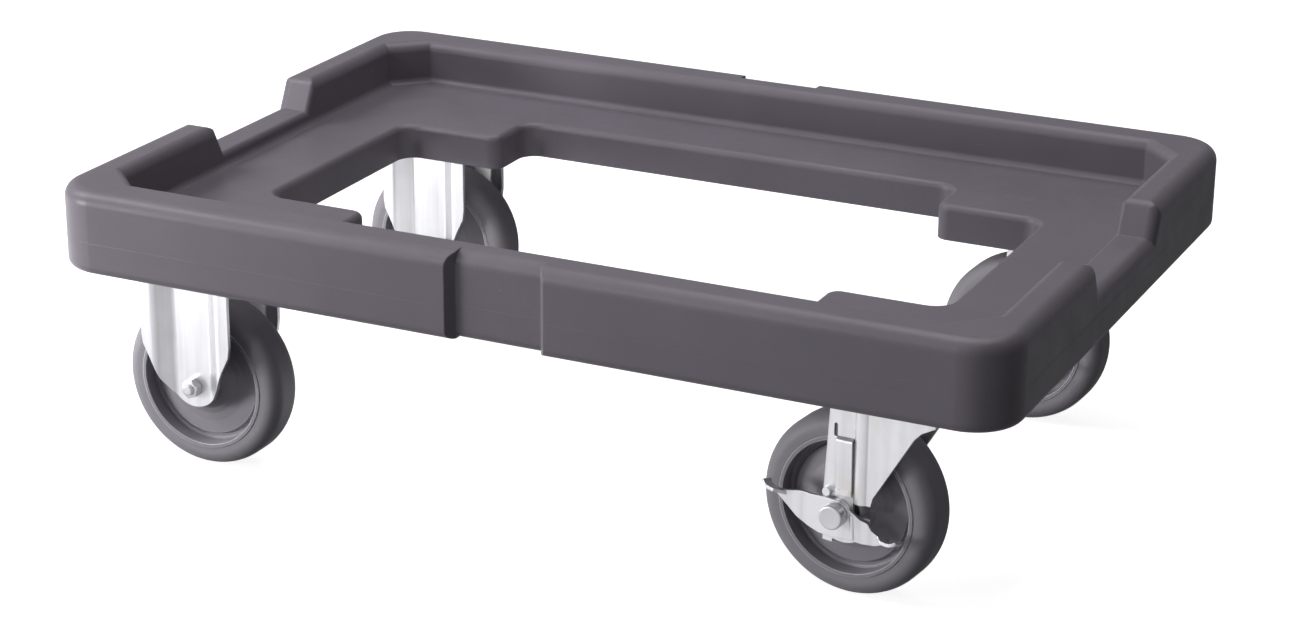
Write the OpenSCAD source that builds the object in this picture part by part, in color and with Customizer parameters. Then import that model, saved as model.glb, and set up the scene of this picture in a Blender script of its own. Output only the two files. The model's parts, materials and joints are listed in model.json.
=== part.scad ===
// Food carrier dolly: one-piece moulded frame on two fixed and two braked swivel casters.
// X runs along the long side, Y from front to back, Z up; the wheels stand on z = 0.

/* [Frame] */
// length of the frame along X
frame_length = 696; // [660:1:760]
// width of the frame along Y
frame_width = 476; // [450:1:520]
// height of the frame from its underside to the top of the rim
frame_height = 60; // [54:1:70]
// radius of the four outer corners seen from above
corner_radius = 34; // [26:1:44]
// rounding of the outer top edge of the rim
top_edge_radius = 10; // [4:0.5:11]
// rounding of the outer bottom edge
bottom_edge_radius = 6; // [2:0.5:10]

/* [Pocket] */
// thickness of the floor that carries the load
floor_thickness = 26; // [22:1:32]
// width of the rim on the two long sides
long_rim_width = 32; // [28:1:38]
// width of the rim on the two short sides
short_rim_width = 28; // [24:1:34]
// length of the flat cut across each inner corner, measured along the side
pocket_corner_cut = 24; // [10:1:32]
// rounding of the inner top edge of the rim
inner_edge_radius = 8; // [3:0.5:9]
// fillet between the pocket wall and the floor
floor_fillet = 5; // [2:0.5:8]

/* [Rim details] */
// length of the shallow recess in the middle of each long side
recess_length = 72; // [50:1:110]
// depth of that recess
recess_depth = 7; // [3:0.5:10]
// run of the slanted step at each end of the recess
recess_step = 5; // [2:0.5:10]
// length of the hand notch at its bottom, in the middle of each short side
notch_length = 116; // [90:1:150]
// height of the notch bottom above the underside of the frame
notch_floor = 37.5; // [34:0.5:44]
// lean of the notch ends away from the vertical
notch_lean = 27; // [10:1:35]
// rounding of the outer edges inside the notch
notch_edge_radius = 8; // [3:0.5:9]

/* [Opening] */
// length of the opening between the two short ledges
opening_length = 514; // [480:1:530]
// width of the opening between the caster ledges
opening_width = 195; // [170:1:205]
// length of the wider middle part of the opening
bay_length = 352; // [300:1:370]
// width of the wider middle part of the opening
bay_width = 286; // [260:1:300]
// rounding of the hollow corners of the opening
opening_corner_radius = 14; // [8:1:20]
// rounding of the four ledge corners that stand into the opening
ledge_corner_radius = 10; // [7:1:16]
// rounding of the top edge of the ledge
ledge_edge_radius = 5; // [2:0.5:6]

/* [Wheels] */
// diameter of the wheels over the tread
wheel_diameter = 125; // [115:1:130]
// width of the tread
wheel_width = 32; // [28:1:34]
// rounding of the tread shoulders
shoulder_radius = 10; // [4:0.5:12]
// radial thickness of the tread
tread_thickness = 14; // [10:1:16]

/* [Casters] */
// distance from the short sides of the frame to the caster centres
caster_inset_x = 84; // [81:1:92]
// distance from the long sides of the frame to the caster centres
caster_inset_y = 70; // [67:1:73]
// height of a caster from the floor to the top of its plate
caster_height = 156; // [152:1:168]
// distance the swivel wheel trails behind its king pin
trail = 39; // [34:1:42]
// angle by which the front swivel caster is turned at rest
front_turn = -6; // [-180:1:180]
// angle by which the back swivel caster is turned at rest
back_turn = -3; // [-180:1:180]
// length of the mounting plates along X
plate_length = 115; // [112:1:120]
// width of the mounting plates along Y
plate_width = 100; // [96:1:104]
// thickness of the pressed steel sheet
sheet = 3; // [2.5:0.1:3.5]
// depth at which the mounting plates sit in the underside of the frame
plate_recess = 4; // [3.5:0.5:6]
// distance from the middle of the wheel to the outer face of a fork leg
leg_face = 24; // [23.5:0.1:25]
// distance between the plate bolts along X
bolt_pitch_x = 90; // [86:1:94]
// distance between the plate bolts along Y
bolt_pitch_y = 74; // [70:1:78]

/* [Brake] */
// angle by which the brake lever leans at rest, rear pedal up
lever_lean = 13; // [0:1:14]
// distance from the axle to the outer end of the rear pedal; the front one is nearer
lever_reach = 53; // [46:1:56]

/* [Hidden] */
$fn = 64;

// overlap used where one solid is cut from another
over = 1;
// amount by which a cut edge rounding stands above its face, so that it ends in a clean line
ease = 0.1;
// running clearance on the radius of a turning pair
running = 0.05;
// gap between faces that move past each other
face_gap = 0.3;

shell_grey = [0.43, 0.41, 0.42];
tread_grey = [0.45, 0.44, 0.46];
core_grey = [0.40, 0.39, 0.42];
bush_black = [0.12, 0.12, 0.13];
zinc = [0.82, 0.83, 0.84];
brass = [0.72, 0.58, 0.30];

frame_z = caster_height - plate_recess;
pocket_length = frame_length - 2 * short_rim_width;
pocket_width = frame_width - 2 * long_rim_width;
wheel_radius = wheel_diameter / 2;
caster_pitch_x = frame_length - 2 * caster_inset_x;
caster_pitch_y = frame_width - 2 * caster_inset_y;

// moulded frame

// the points in the opposite order
function reversed(points) = [for (i = [len(points) - 1 : -1 : 0]) points[i]];

// half an outline closed by its mirror image
function with_mirror(points) = concat(points, [for (p = reversed(points)) [-p[0], p[1]]]);

// points of an arc round a centre
function arc(centre, r, from, to, steps = 6) =
    [for (i = [0 : steps]) let (a = from + (to - from) * i / steps) centre + r * [cos(a), sin(a)]];

// rectangle with round corners, centred
module round_rect(l, w, r) {
    square([l - 2 * r, w], center = true);
    square([l, w - 2 * r], center = true);
    for (sx = [-1, 1], sy = [-1, 1])
        translate([sx * (l / 2 - r), sy * (w / 2 - r)]) circle(r);
}

// cross section of a slab: width w, height h, top edges rounded by rt, bottom edges by rb
module slab_section(w, h, rt, rb) {
    translate([-w / 2, rb]) square([w, h - rt - rb]);
    translate([-w / 2 + rt, rb]) square([w - 2 * rt, h - rb]);
    translate([-w / 2 + rb, 0]) square([w - 2 * rb, h - rt]);
    for (s = [-1, 1]) {
        translate([s * (w / 2 - rt), h - rt]) circle(rt);
        translate([s * (w / 2 - rb), rb]) circle(rb);
    }
}

// the same section turned round one outer corner of radius r
module slab_corner(r, h, rt, rb) {
    rotate_extrude(angle = 90) {
        translate([0, rb]) square([r, h - rt - rb]);
        translate([0, rb]) square([r - rt, h - rb]);
        square([r - rb, h - rt]);
        translate([r - rt, h - rt]) circle(rt);
        translate([r - rb, rb]) circle(rb);
    }
}

// lay a drawn section along X or along Y
module along_x(length) rotate([90, 0, 90]) linear_extrude(length, center = true) children();
module along_y(length) rotate([90, 0, 0]) linear_extrude(length, center = true) children();

// outer body before anything is cut from it
module outer_body() {
    along_x(frame_length - 2 * corner_radius)
        slab_section(frame_width, frame_height, top_edge_radius, bottom_edge_radius);
    along_y(frame_width - 2 * corner_radius)
        slab_section(frame_length, frame_height, top_edge_radius, bottom_edge_radius);
    for (sx = [0, 1], sy = [0, 1])
        mirror([sx, 0, 0]) mirror([0, sy, 0])
            translate([frame_length / 2 - corner_radius, frame_width / 2 - corner_radius, 0])
                slab_corner(corner_radius, frame_height, top_edge_radius, bottom_edge_radius);
}

// section of a slot of width w whose mouth, at the given height, flares out by the radius r
module flared_slot(w, mouth, r, depth) {
    translate([-w / 2, mouth - depth]) square([w, depth + over]);
    for (s = [0, 1]) mirror([s, 0])
        translate([w / 2, mouth - r + ease]) difference() {
            translate([-over, 0]) square([over + r, r + over]);
            translate([r, 0]) circle(r);
        }
}

// section of the pocket: rounded at the floor, flared at the rim
module pocket_section(w) {
    rise = frame_height - floor_thickness;
    flared_slot(w, frame_height, inner_edge_radius, rise - floor_fillet);
    translate([-w / 2 + floor_fillet, floor_thickness]) square([w - 2 * floor_fillet, rise]);
    for (s = [-1, 1])
        translate([s * (w / 2 - floor_fillet), floor_thickness + floor_fillet]) circle(floor_fillet);
}

// eight-sided pocket that takes the carrier
module pocket() {
    across = (pocket_length + pocket_width - 2 * pocket_corner_cut) / sqrt(2);
    reach = frame_length + frame_width;
    intersection() {
        along_x(reach) pocket_section(pocket_width);
        along_y(reach) pocket_section(pocket_length);
        rotate([0, 0, 45]) along_x(reach) pocket_section(across);
        rotate([0, 0, -45]) along_x(reach) pocket_section(across);
    }
}

// section of an opening with the flared top edge of the ledge
module opening_section(w) flared_slot(w, floor_thickness, ledge_edge_radius, floor_thickness + over);

module opening_corner(rc) {
    rotate_extrude(angle = 90) intersection() {
        opening_section(2 * rc);
        translate([0, -over]) square([2 * rc + over, floor_thickness + 2 * over]);
    }
}

// rectangular opening through the floor, length l, width w, hollow corners rc
module opening(l, w, rc) {
    along_x(l - 2 * rc) opening_section(w);
    along_y(w - 2 * rc) opening_section(l);
    for (sx = [0, 1], sy = [0, 1])
        mirror([sx, 0, 0]) mirror([0, sy, 0]) translate([l / 2 - rc, w / 2 - rc, 0]) opening_corner(rc);
}

// what the rounded corner of a caster ledge leaves free
module ledge_corner_cut() {
    r = ledge_corner_radius;
    e = ledge_edge_radius;
    difference() {
        translate([-over, -over, -over]) cube([r + over, r + over, floor_thickness + 2 * over]);
        translate([r, r, 0]) rotate_extrude() {
            translate([0, -2 * over]) square([r, floor_thickness - e + ease + 2 * over]);
            square([r - e, floor_thickness + 4 * over]);
            translate([r - e, floor_thickness - e + ease]) intersection() {
                circle(e);
                square(e);
            }
        }
    }
}

// opening with its wider middle bay
module stepped_opening() {
    opening(opening_length, opening_width, opening_corner_radius);
    opening(bay_length, bay_width, opening_corner_radius);
    for (sx = [0, 1], sy = [0, 1])
        mirror([sx, 0, 0]) mirror([0, sy, 0])
            translate([bay_length / 2, opening_width / 2, 0]) ledge_corner_cut();
}

// slanted block that takes the middle out of a long side
module recess_block() {
    half = recess_length / 2;
    back = frame_width / 2 - recess_depth;
    linear_extrude(frame_height + 2 * over)
        polygon([[-half + recess_step, back - long_rim_width / 2],
                 [half - recess_step, back - long_rim_width / 2], [half - recess_step, back],
                 [half, frame_width / 2], [half, frame_width / 2 + over],
                 [-half, frame_width / 2 + over], [-half, frame_width / 2], [-half + recess_step, back]]);
}

// the thinner middle of a long side, put back behind the recess
module recessed_rail() {
    depth = recess_depth + long_rim_width / 2;
    translate([0, frame_width / 2 - depth, 0]) intersection() {
        along_x(recess_length - over)
            translate([-frame_width / 2 + long_rim_width / 2, 0])
                slab_section(frame_width, frame_height, top_edge_radius, bottom_edge_radius);
        translate([-recess_length / 2, 0, 0]) cube([recess_length, depth, frame_height]);
    }
}

notch_rise = frame_height - notch_floor;
notch_run = notch_rise * tan(notch_lean);
// half length of the stretch of short rim that is rebuilt round the notch
notch_reach = ceil(notch_length / 2 + notch_run) + 2 * inner_edge_radius;

// low part of both short rims, under the notches
module notch_sills() {
    along_y(2 * notch_reach) difference() {
        slab_section(frame_length, notch_floor, notch_edge_radius, bottom_edge_radius);
        flared_slot(pocket_length, notch_floor, inner_edge_radius / 2, frame_height);
    }
}

// ends of the raised rims at one end of the notches, leaning away and rounded on every edge
module notch_ends() {
    r = inner_edge_radius;
    foot = notch_length / 2;
    centre = foot + notch_run + r * (1 - sin(notch_lean)) / cos(notch_lean);
    sink = notch_edge_radius + 2 * over;
    intersection() {
        translate([0, notch_reach / 2, 0]) along_y(notch_reach) difference() {
            slab_section(frame_length, frame_height, top_edge_radius, bottom_edge_radius);
            flared_slot(pocket_length, frame_height, inner_edge_radius, 2 * frame_height);
        }
        along_x(frame_length) {
            translate([centre, frame_height - r]) circle(r);
            polygon([[centre - r * cos(notch_lean), frame_height - r + r * sin(notch_lean)],
                     [foot - sink * tan(notch_lean), notch_floor - sink],
                     [notch_reach, notch_floor - sink], [notch_reach, frame_height],
                     [centre, frame_height]]);
        }
        translate([0, foot, notch_floor]) rotate([-notch_lean, 0, 0])
            linear_extrude(3 * notch_rise, center = true) difference() {
                slab_section(frame_length, 2 * notch_reach, notch_edge_radius, notch_edge_radius);
                mirror([0, 1]) flared_slot(pocket_length, 0, inner_edge_radius / 2, 2 * notch_reach);
            }
    }
}

// clear the short rim above the floor where the notch is rebuilt
module notch_clear() {
    translate([pocket_length / 2, -notch_reach, floor_thickness])
        cube([short_rim_width + over, 2 * notch_reach, frame_height]);
}

// seat of one caster plate in the underside, with the holes for its inserts
module plate_seat() {
    margin = 1;
    translate([0, 0, -over])
        linear_extrude(plate_recess + over)
            round_rect(plate_length + 2 * margin, plate_width + 2 * margin, plate_corner + margin);
    plate_holes() translate([0, 0, plate_recess - over])
        cylinder(r = insert_radius, h = insert_depth + over);
}

module frame_shell() {
    color(shell_grey) translate([0, 0, frame_z]) difference() {
        union() {
            difference() {
                outer_body();
                pocket();
                for (sy = [0, 1]) mirror([0, sy, 0]) translate([0, 0, -over]) recess_block();
                for (sx = [0, 1]) mirror([sx, 0, 0]) notch_clear();
            }
            for (sy = [0, 1]) mirror([0, sy, 0]) recessed_rail();
            notch_sills();
            for (sy = [0, 1]) mirror([0, sy, 0]) notch_ends();
        }
        stepped_opening();
        for (sx = [-1, 1], sy = [-1, 1])
            translate([sx * caster_pitch_x / 2, sy * caster_pitch_y / 2, 0]) plate_seat();
    }
}

// mounting plates and their fixings

plate_corner = 9;
plate_under = caster_height - sheet;
bolt_radius = 4;
bolt_play = 0.5;
bolt_length = 15;
bolt_head_across = 13;
bolt_head_height = 5.3;
washer_radius = 8;
washer_thickness = 1.2;
insert_radius = 6.5;
insert_groove = 0.8;
insert_depth = 17;
insert_flange = 1.5;

// the four fixing points of a plate
module plate_holes() {
    for (sx = [-1, 1], sy = [-1, 1])
        translate([sx * bolt_pitch_x / 2, sy * bolt_pitch_y / 2, 0]) children();
}

// hexagonal prism measured across its flats
module hexagon(across, height) cylinder(d = across / cos(30), h = height, $fn = 6);

// pressed plate with round corners and four holes
module mounting_plate() {
    translate([0, 0, plate_under]) difference() {
        linear_extrude(sheet) round_rect(plate_length, plate_width, plate_corner);
        translate([0, 0, -over]) plate_holes() cylinder(r = bolt_radius + bolt_play, h = sheet + 2 * over);
    }
}

// flanged inserts moulded into the frame above one plate
module inserts() {
    shank = insert_depth - 2 * insert_flange;
    color(brass) plate_holes() translate([0, 0, caster_height]) difference() {
        union() {
            cylinder(r = insert_radius, h = insert_flange);
            translate([0, 0, insert_flange]) cylinder(r = insert_radius - insert_groove, h = shank);
            translate([0, 0, insert_flange + shank]) cylinder(r = insert_radius, h = insert_flange);
        }
        translate([0, 0, -over]) cylinder(r = bolt_radius + running, h = insert_depth + 2 * over);
    }
}

// four hexagon bolts with washers that hold one plate
module plate_bolts() {
    color(zinc) plate_holes() {
        translate([0, 0, plate_under - washer_thickness]) {
            cylinder(r = washer_radius, h = washer_thickness);
            translate([0, 0, -bolt_head_height]) hexagon(bolt_head_across, bolt_head_height);
            cylinder(r = bolt_radius, h = washer_thickness + sheet + bolt_length);
        }
    }
}

// wheels and axles

axle_radius = 4;
tube_radius = 6.5;
bush_radius = 11;
bush_flange_radius = 13;
bush_flange = 1.5;
bush_length = 15;
hub_radius = 16;
hub_gap = 0.5;
leg_inside = leg_face - sheet;
hub_half = leg_inside - hub_gap;
core_radius = wheel_radius - tread_thickness;
rim_lip = 0.5;
rim_half = wheel_width / 2 + rim_lip;
rim_thickness = 2.6;
nut_across = 12;
nut_height = 7;
head_radius = 8.3;
head_height = 8.5;
head_round = 1.5;
axle_end = 2.5;

// turn a section drawn as (radius, distance along the axle) round the axle at axle height
module on_axle() translate([0, 0, wheel_radius]) rotate([-90, 0, 0]) children();

// grey rubber tread with rounded shoulders
module tyre() {
    half = wheel_width / 2;
    crown = wheel_radius - shoulder_radius;
    color(tread_grey) on_axle() rotate_extrude() difference() {
        union() {
            translate([core_radius, -half]) square([crown - core_radius, 2 * half]);
            translate([core_radius, shoulder_radius - half])
                square([tread_thickness, 2 * (half - shoulder_radius)]);
            for (s = [-1, 1])
                translate([crown, s * (half - shoulder_radius)]) circle(shoulder_radius);
        }
        translate([0, -wheel_radius]) square([core_radius, 2 * wheel_radius]);
    }
}

// wheel centre: rim, groove, web that rises in a hollow curve, and hub
module wheel_core() {
    web = 7;
    groove = 4.5;
    groove_depth = 3;
    inside = core_radius - rim_thickness;
    half = [[bush_radius, hub_half], [hub_radius - 1.5, hub_half], [hub_radius, hub_half - 2],
            [hub_radius + 1.5, web + 8], [hub_radius + 4.5, web + 4.5], [hub_radius + 9, web + 2.2],
            [hub_radius + 15, web + 0.8], [inside - groove - 1, web], [inside - groove, web - 1],
            [inside - groove, web - groove_depth], [inside - 1, web - groove_depth],
            [inside, web - groove_depth + 1], [inside, rim_half], [core_radius, rim_half]];
    color(core_grey) on_axle() difference() {
        rotate_extrude() polygon(concat(half, [for (p = reversed(half)) [p[0], -p[1]]]));
        for (s = [0, 1]) mirror([0, 0, s])
            translate([0, 0, hub_half - bush_flange])
                cylinder(r = bush_flange_radius, h = over + bush_flange);
    }
}

// pair of flanged plain bushes pressed into the hub
module bushes() {
    color(bush_black) on_axle() for (s = [0, 1]) mirror([0, 0, s])
        translate([0, 0, hub_half]) mirror([0, 0, 1]) difference() {
            union() {
                cylinder(r = bush_flange_radius, h = bush_flange);
                cylinder(r = bush_radius, h = bush_length);
            }
            translate([0, 0, -over]) cylinder(r = tube_radius + running, h = bush_length + 2 * over);
        }
}

// steel tube clamped between the fork legs, on which the bushes turn
module axle_tube() {
    color(zinc) on_axle() difference() {
        cylinder(r = tube_radius, h = 2 * leg_inside, center = true);
        cylinder(r = axle_radius + running, h = 2 * leg_face, center = true);
    }
}

// axle bolt with its round head towards the back (toward = 1) or the front (toward = -1)
module axle_bolt(toward, seat) {
    tip = leg_face + nut_height + axle_end;
    color(zinc) on_axle() mirror([0, 0, toward < 0 ? 1 : 0]) {
        translate([0, 0, seat]) rotate_extrude() {
            square([head_radius, head_height - head_round]);
            square([head_radius - head_round, head_height]);
            translate([head_radius - head_round, head_height - head_round]) circle(head_round);
        }
        translate([0, 0, -tip]) cylinder(r = axle_radius, h = tip + seat + over);
    }
}

// nut on the other end of the axle bolt
module axle_nut(toward) {
    color(zinc) on_axle() mirror([0, 0, toward < 0 ? 1 : 0]) difference() {
        translate([0, 0, leg_face]) hexagon(nut_across, nut_height);
        cylinder(r = axle_radius + running, h = 2 * leg_face);
    }
}

// fixed forks

fixed_half_width = 36;
fixed_panel_half = 13;
fixed_flange_out = 9.5;
fixed_tip_radius = 19;
fixed_tip_rise = 4;
fold_angle = 40;
fold_radius = 4;

// plan section of one leg: flat panel between two flanges that stand outwards, all folds round
module fixed_leg_section() {
    tilt = fold_angle + 90;
    neutral = 2 * fold_radius + sheet;
    slope = (fixed_flange_out - neutral * (1 - cos(fold_angle))) / sin(fold_angle);
    first = [fixed_panel_half, leg_face + fold_radius];
    second = first + slope * [cos(fold_angle), sin(fold_angle)] - neutral * [cos(tilt), sin(tilt)];
    out = second[1] + fold_radius + sheet;
    outer = concat(arc(first, fold_radius, -90, fold_angle - 90),
                   arc(second, fold_radius + sheet, tilt, 90), [[fixed_half_width, out]]);
    inner = concat(arc(first, fold_radius + sheet, -90, fold_angle - 90),
                   arc(second, fold_radius, tilt, 90), [[fixed_half_width, out - sheet]]);
    polygon(with_mirror(concat(outer, reversed(inner))));
}

// side outline of a fixed fork leg, wide at the plate and round at the axle
module fixed_leg_outline() {
    edge = fixed_half_width + over;
    top = plate_under - wheel_radius;
    // corners of one side, measured from the axle, from the plate down to the foot
    side = [[edge, top], [edge, top - 45], [edge - 2, 30], [29.5, 19], [23.5, 4.5], [16.5, -6]];
    translate([0, wheel_radius]) {
        translate([0, fixed_tip_rise]) circle(fixed_tip_radius);
        polygon(with_mirror(side));
    }
}

module fixed_fork() {
    color(zinc) {
        mounting_plate();
        difference() {
            for (s = [0, 1]) mirror([0, s, 0]) intersection() {
                linear_extrude(plate_under) fixed_leg_section();
                rotate([90, 0, 0]) linear_extrude(4 * leg_face, center = true) fixed_leg_outline();
            }
            on_axle() cylinder(r = axle_radius + running, h = 4 * leg_face, center = true);
        }
    }
}

// swivel casters

head_drop = 12;
crown_top = caster_height - head_drop;
crown_radius = 36;
pin_radius = 6;
pin_head_radius = 10;
rivet_height = 4;
ball_radius = 3;
ball_ring_radius = 22;
ball_lift = 4.5;
ball_z = crown_top + ball_lift;
race_cover = 0.8;
race_outer = 28.5;
race_inner = 15;
race_height = 3;
skirt = 1.8;
skirt_height = 7;
balls = 18;

// top plate with the upper race pressed into its underside
module swivel_plate() {
    race_under = ball_z + race_cover;
    color(zinc) difference() {
        union() {
            mounting_plate();
            translate([0, 0, race_under])
                cylinder(r = race_outer - face_gap, h = plate_under - race_under + over);
        }
        translate([0, 0, race_under - over]) cylinder(r = race_inner, h = plate_under - race_under + over);
        translate([0, 0, ball_z]) rotate_extrude()
            translate([ball_ring_radius, 0]) circle(ball_radius + face_gap);
        translate([0, 0, plate_under - over]) cylinder(r = pin_radius + running, h = sheet + 2 * over);
        translate([0, 0, caster_height - sheet / 2]) cylinder(r = pin_head_radius, h = sheet);
    }
}

// king pin: headed above, riveted over a shoulder below the fork
module king_pin() {
    under = crown_top - sheet - face_gap;
    color(zinc) {
        translate([0, 0, caster_height - sheet / 2]) cylinder(r = pin_head_radius, h = sheet / 2);
        translate([0, 0, under - over])
            cylinder(r = pin_radius, h = caster_height - under + over - sheet / 2);
        translate([0, 0, under - rivet_height]) cylinder(r = pin_head_radius + 1, h = rivet_height);
    }
}

// ring that carries the balls, with a skirt against splash water
module lower_race() {
    color(zinc) translate([0, 0, crown_top]) rotate_extrude() difference() {
        union() {
            translate([race_inner, 0]) square([race_outer - race_inner + skirt, race_height]);
            translate([race_outer, 0]) square([skirt, skirt_height]);
        }
        translate([ball_ring_radius, ball_lift]) circle(ball_radius + running);
    }
}

module race_balls() {
    color(zinc) for (i = [0 : balls - 1]) rotate([0, 0, i * 360 / balls])
        translate([ball_ring_radius, 0, ball_z]) sphere(ball_radius);
}

// pressed rib and stop pin of the fork leg; places are measured from the axle
rib_radius = 7;
rib_rise = 1.9;
rib_at = 14.3;
rib_foot = 8;
pin_at = [-7.6, 13.3];
stop_pin_radius = 2.8;
stop_pin_length = 4.5;

// side outline of the swivel fork, drawn with the axle at the origin
module swivel_leg_outline() {
    top = crown_top - wheel_radius;
    edge = trail + 26.5;
    lip = 10.5;
    foot = [3, -2];
    foot_radius = 19;
    back = -13.5;
    polygon([[-8, top], [-12, 10], [back, -12], [-11.5, -17], [-11.5, -22], [-4.5, -22.5],
             [-4.5, -20], [4, -21], [15, -14], [20.5, 2], [23.5, 14], [trail + 12, top - 2 * lip],
             [trail + 17, top - 1.5 * lip], [edge, top - lip], [edge, top]]);
    intersection() {
        translate(foot) circle(foot_radius);
        translate([back, foot[1] - foot_radius - over]) square([2 * foot_radius, 1.6 * foot_radius]);
    }
}

// broad rib pressed into a fork leg, as a plan section that lies on the outer face
module leg_rib_section() {
    translate([rib_at - trail, leg_face + rib_rise - rib_radius]) intersection() {
        circle(rib_radius);
        translate([-rib_radius, rib_radius - rib_rise - sheet / 2]) square([2 * rib_radius, rib_radius]);
    }
}

// folded fork: crown plate, two legs with a pressed rib, slots for the brake spring
module swivel_fork() {
    reach = trail + 2 * crown_radius;
    slot_width = spring_width + 1;
    slot_height = 2.8;
    groove = 1.3;
    groove_length = 6.5;
    groove_foot = 52.5;
    relief_at = 9.5;
    relief_height = 9;
    groove_at = spring_at - spring_width / 2 - 1.6;
    color(zinc) difference() {
        union() {
            intersection() {
                along_x(2 * reach) difference() {
                    slab_section(2 * leg_face, crown_top, sheet + 3, sheet);
                    translate([0, -sheet]) slab_section(2 * leg_inside, crown_top, sheet, sheet);
                }
                translate([-trail, 0, wheel_radius]) rotate([90, 0, 0])
                    linear_extrude(4 * leg_face, center = true) swivel_leg_outline();
            }
            translate([0, 0, crown_top - sheet]) cylinder(r = crown_radius, h = sheet);
            for (s = [0, 1]) mirror([0, s, 0]) translate([0, 0, wheel_radius + rib_foot])
                linear_extrude(crown_top - wheel_radius - 2 * sheet - rib_foot) leg_rib_section();
            translate([pin_at[0] - trail, -leg_inside, wheel_radius + pin_at[1]])
                rotate([90, 0, 0]) cylinder(r = stop_pin_radius, h = sheet + stop_pin_length);
        }
        for (s = [-1, 1])
            translate([rib_at - trail,
                       s * (leg_face + rib_rise - rib_radius),
                       wheel_radius + rib_foot + sheet])
                cylinder(r = rib_radius - sheet, h = crown_top - wheel_radius - 2 * sheet - rib_foot);
        // relief cuts under the ribs, open to the edge of the leg
        for (s = [-1, 1])
            translate([relief_at - trail,
                       s * leg_face - sheet - over,
                       wheel_radius + rib_foot - relief_height])
                cube([trail, 2 * sheet + 2 * over, relief_height]);
        translate([0, 0, crown_top - 2 * sheet]) cylinder(r = pin_radius + running, h = 3 * sheet);
        translate([-trail, 0, 0]) on_axle()
            cylinder(r = axle_radius + running, h = 4 * leg_face, center = true);
        translate([spring_at - slot_width / 2 - trail, -leg_face - over, wheel_radius + spring_top])
            cube([slot_width, sheet + 2 * over, slot_height]);
        translate([groove_at - trail, -leg_face, wheel_radius + groove_foot])
            rotate([90, 0, 0]) linear_extrude(2 * sheet + over, center = true) {
                circle(groove);
                translate([-groove, 0]) square([2 * groove, groove_length]);
                translate([0, groove_length]) circle(groove);
            }
    }
}

// brakes

spring_width = 11.5;
spring_at = 3.4;
spring_top = 49;
spring_sheet = 1.2;
lever_sheet = 2.2;
lever_inner = leg_face + 2.4;
lever_boss_radius = 9;
arm_difference = 5;
pedal_length = 18;
pedal_depth = 13;
pedal_rise = 20;
pedal_level = -4.4;
pedal_corner = 4;
pedal_slant = 7;
curl_radius = 6;
curl_angle = 60;
head_seat = lever_inner + lever_sheet + face_gap;

// section of the spring strip as (distance from the wheel middle, height above the axle)
module spring_section() {
    bend = 2.6;
    foot = 12;
    hook = 5;
    stand = 1;
    y0 = leg_face + 2 * face_gap + stand;
    // strip that slants in from the bend to the lever hub
    polygon([[y0 - stand, foot], [y0 - stand + spring_sheet, foot],
             [y0 + spring_sheet, spring_top], [y0, spring_top]]);
    // round bend out of the slot
    translate([y0 + spring_sheet - bend, spring_top]) difference() {
        circle(bend);
        circle(bend - spring_sheet);
        translate([-2 * bend, -2 * bend]) square([2 * bend, 4 * bend]);
        translate([-2 * bend, -2 * bend]) square([4 * bend, 2 * bend]);
    }
    // hook through the slot, turned down behind the leg
    translate([leg_inside - spring_sheet, spring_top + bend - spring_sheet])
        square([y0 + spring_sheet - bend - leg_inside + spring_sheet, spring_sheet]);
    translate([leg_inside - spring_sheet, spring_top - hook]) square([spring_sheet, bend + hook]);
    // foot that stands out against the lever
    translate([y0 - stand, foot]) square([spring_sheet + 2 * face_gap, 4]);
}

// leaf spring that snaps the brake lever into its two positions
module brake_spring() {
    color(zinc) translate([spring_at - trail, 0, wheel_radius]) mirror([0, 1, 0])
        rotate([90, 0, 90]) linear_extrude(spring_width, center = true) spring_section();
}

// side outline of the lever with both arms level; the rear arm is longer and deeper
module lever_outline() {
    rear = lever_reach - 10;
    front = rear - arm_difference;
    polygon([[-rear, -3], [-33, 1.4], [-26, 4.4], [-19.5, 5.2], [-9.7, 7.7], [0, 9], [7, 7],
             [17, 3.4], [22.5, 3.4], [26, 0], [32, -1.7], [front, -2.4], [front, -4.4], [31.3, -9],
             [22.4, -12], [10, -14], [0, -17.3], [-8.8, -18.3], [-16.7, -17.2], [-25.7, -14.8],
             [-33.6, -10.4], [-rear, -5.4]]);
}

// side profile of a pedal, its end curled up
module pedal_profile() {
    outside = curl_radius + lever_sheet;
    centre = [pedal_length - outside * sin(curl_angle), outside];
    polygon(concat([[0, 0]], arc(centre, outside, -90, curl_angle - 90),
                   reversed(arc(centre, curl_radius, -90, curl_angle - 90)), [[0, lever_sheet]]));
}

// foot plate at the end of one arm, bent outwards from the lever
module pedal(reach) {
    corner_at = [pedal_length - pedal_corner, pedal_depth - pedal_corner];
    translate([reach - pedal_length, -lever_inner, pedal_level]) rotate([-pedal_rise, 0, 0])
        intersection() {
            rotate([90, 0, 0]) linear_extrude(pedal_depth) pedal_profile();
            mirror([0, 1, 0]) linear_extrude(2 * pedal_length, center = true)
                polygon(concat([[0, 0], [pedal_slant, pedal_depth]],
                               arc(corner_at, pedal_corner, 90, 0),
                               [[pedal_length, 0]]));
        }
}

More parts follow.
